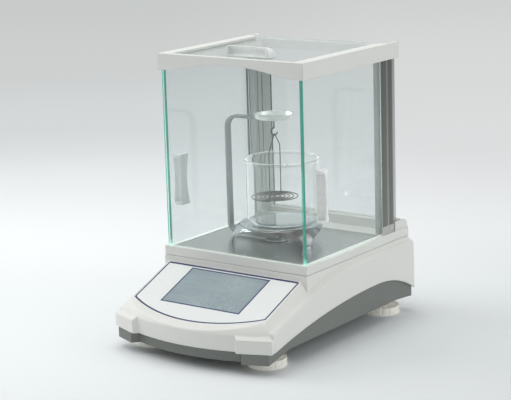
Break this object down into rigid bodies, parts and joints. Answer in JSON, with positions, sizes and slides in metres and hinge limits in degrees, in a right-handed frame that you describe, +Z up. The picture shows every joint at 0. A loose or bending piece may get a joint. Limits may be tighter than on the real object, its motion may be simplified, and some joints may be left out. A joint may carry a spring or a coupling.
{
  "type": "analytical balance",
  "caption": "Laboratory balance with a glass draught shield, sliding doors, a sloping display and a hanging basket kit for density weighing.",
  "frame": {"origin": "middle of the box around the balance, on the surface that its four feet stand on", "axes": "+Z up, +Y from the display at the front to the rear wall, +X to the user's right"},
  "size_m": [0.2188, 0.322, 0.3362],
  "materials": {
    "housing_white": "satin",
    "casing_grey": "fine texture",
    "frame_white": "satin",
    "post_alloy": "satin anodised",
    "post_foot_grey": "satin",
    "pane_glass": "polished, green edges",
    "grip_grey": "translucent satin",
    "floor_steel": "satin",
    "film_white": "printed film with a dark blue line",
    "screen_glass": "anti-glare",
    "screen_module": "matt",
    "board_green": "solder mask",
    "strip_steel": "satin",
    "kit_steel": "bright",
    "stand_steel": "mirror polish",
    "beaker_glass": "polished",
    "wheel_ivory": "moulded",
    "stud_steel": "zinc plated",
    "insert_brass": "turned",
    "cell_alloy": "milled",
    "magnet_steel": "nickel plated",
    "coil_copper": "wound enamelled wire",
    "socket_black": "moulded"
  },
  "bodies": {
    "balance": {"upper_housing": "housing_white", "lower_casing": "casing_grey", "casing_screws": "stud_steel", "foot_inserts": "insert_brass", "display_overlay": "film_white", "touch_glass": "screen_glass", "lcd_module": "screen_module", "display_board": "board_green", "chamber_deck": "frame_white", "floor_plate": "floor_steel", "floor_screw": "stud_steel", "left_post_foot": "post_foot_grey", "right_post_foot": "post_foot_grey", "left_guide_foot": "post_foot_grey", "right_guide_foot": "post_foot_grey", "left_post": "post_alloy", "right_post": "post_alloy", "left_guide": "post_alloy", "right_guide": "post_alloy", "front_glass": "pane_glass", "rear_glass": "pane_glass", "top_frame": "frame_white", "cell_base": "cell_alloy", "weigh_block": "cell_alloy", "pan_carrier": "cell_alloy", "magnet_pot": "magnet_steel", "force_coil": "coil_copper", "cell_lever": "cell_alloy", "main_board": "board_green", "board_spacers": "socket_black", "power_inlet": "socket_black", "serial_port": "socket_black"},
    "left_door": {"left_door_glass": "pane_glass", "left_door_grip": "grip_grey"},
    "right_door": {"right_door_glass": "pane_glass", "right_door_grip": "grip_grey"},
    "roof_door": {"roof_glass": "pane_glass", "roof_grip": "grip_grey"},
    "hanger": {"hanger_disc": "kit_steel", "hanger_strip": "strip_steel", "hanger_hook": "kit_steel"},
    "dish": {"sample_dish": "kit_steel"},
    "basket": {"basket_coil": "kit_steel", "basket_bail": "kit_steel"},
    "stand": {"beaker_stand": "stand_steel"},
    "glass_beaker": {"beaker": "beaker_glass"},
    "front_left_foot": {"front_left_wheel": "wheel_ivory", "front_left_stud": "stud_steel"},
    "front_right_foot": {"front_right_wheel": "wheel_ivory", "front_right_stud": "stud_steel"},
    "rear_left_foot": {"rear_left_wheel": "wheel_ivory", "rear_left_stud": "stud_steel"},
    "rear_right_foot": {"rear_right_wheel": "wheel_ivory", "rear_right_stud": "stud_steel"}
  },
  "joints": [
    {"name": "left_door_slide", "type": "slide", "parent": "balance", "child": "left_door", "axis": [0, 1, 0], "range_m": [0, 0.115]},
    {"name": "right_door_slide", "type": "slide", "parent": "balance", "child": "right_door", "axis": [0, 1, 0], "range_m": [0, 0.115]},
    {"name": "roof_door_slide", "type": "slide", "parent": "balance", "child": "roof_door", "axis": [0, 1, 0], "range_m": [0, 0.12]},
    {"name": "hanger_lift", "type": "slide", "parent": "balance", "child": "hanger", "axis": [0, 0, 1], "range_m": [0, 0.003]},
    {"name": "dish_lift", "type": "slide", "parent": "hanger", "child": "dish", "axis": [0, 0, 1], "range_m": [0, 0.05]},
    {"name": "basket_swing", "type": "hinge", "parent": "hanger", "child": "basket", "pos_m": [0, 0.03, 0.2276], "axis": [1, 0, 0], "range_deg": [-3, 3]},
    {"name": "stand_lift", "type": "slide", "parent": "balance", "child": "stand", "axis": [0, 0, 1], "range_m": [0, 0.01]},
    {"name": "beaker_lift", "type": "slide", "parent": "stand", "child": "glass_beaker", "axis": [0, 0, 1], "range_m": [0, 0.012]},
    {"name": "front_left_foot_turn", "type": "hinge", "parent": "balance", "child": "front_left_foot", "pos_m": [-0.0794, -0.1066, 0.01], "axis": [0, 0, 1], "range_deg": [-540, 540]},
    {"name": "front_right_foot_turn", "type": "hinge", "parent": "balance", "child": "front_right_foot", "pos_m": [0.0794, -0.1066, 0.01], "axis": [0, 0, 1], "range_deg": [-540, 540]},
    {"name": "rear_left_foot_turn", "type": "hinge", "parent": "balance", "child": "rear_left_foot", "pos_m": [-0.0794, 0.1302, 0.01], "axis": [0, 0, 1], "range_deg": [-540, 540]},
    {"name": "rear_right_foot_turn", "type": "hinge", "parent": "balance", "child": "rear_right_foot", "pos_m": [0.0794, 0.1302, 0.01], "axis": [0, 0, 1], "range_deg": [-540, 540]}
  ]
}
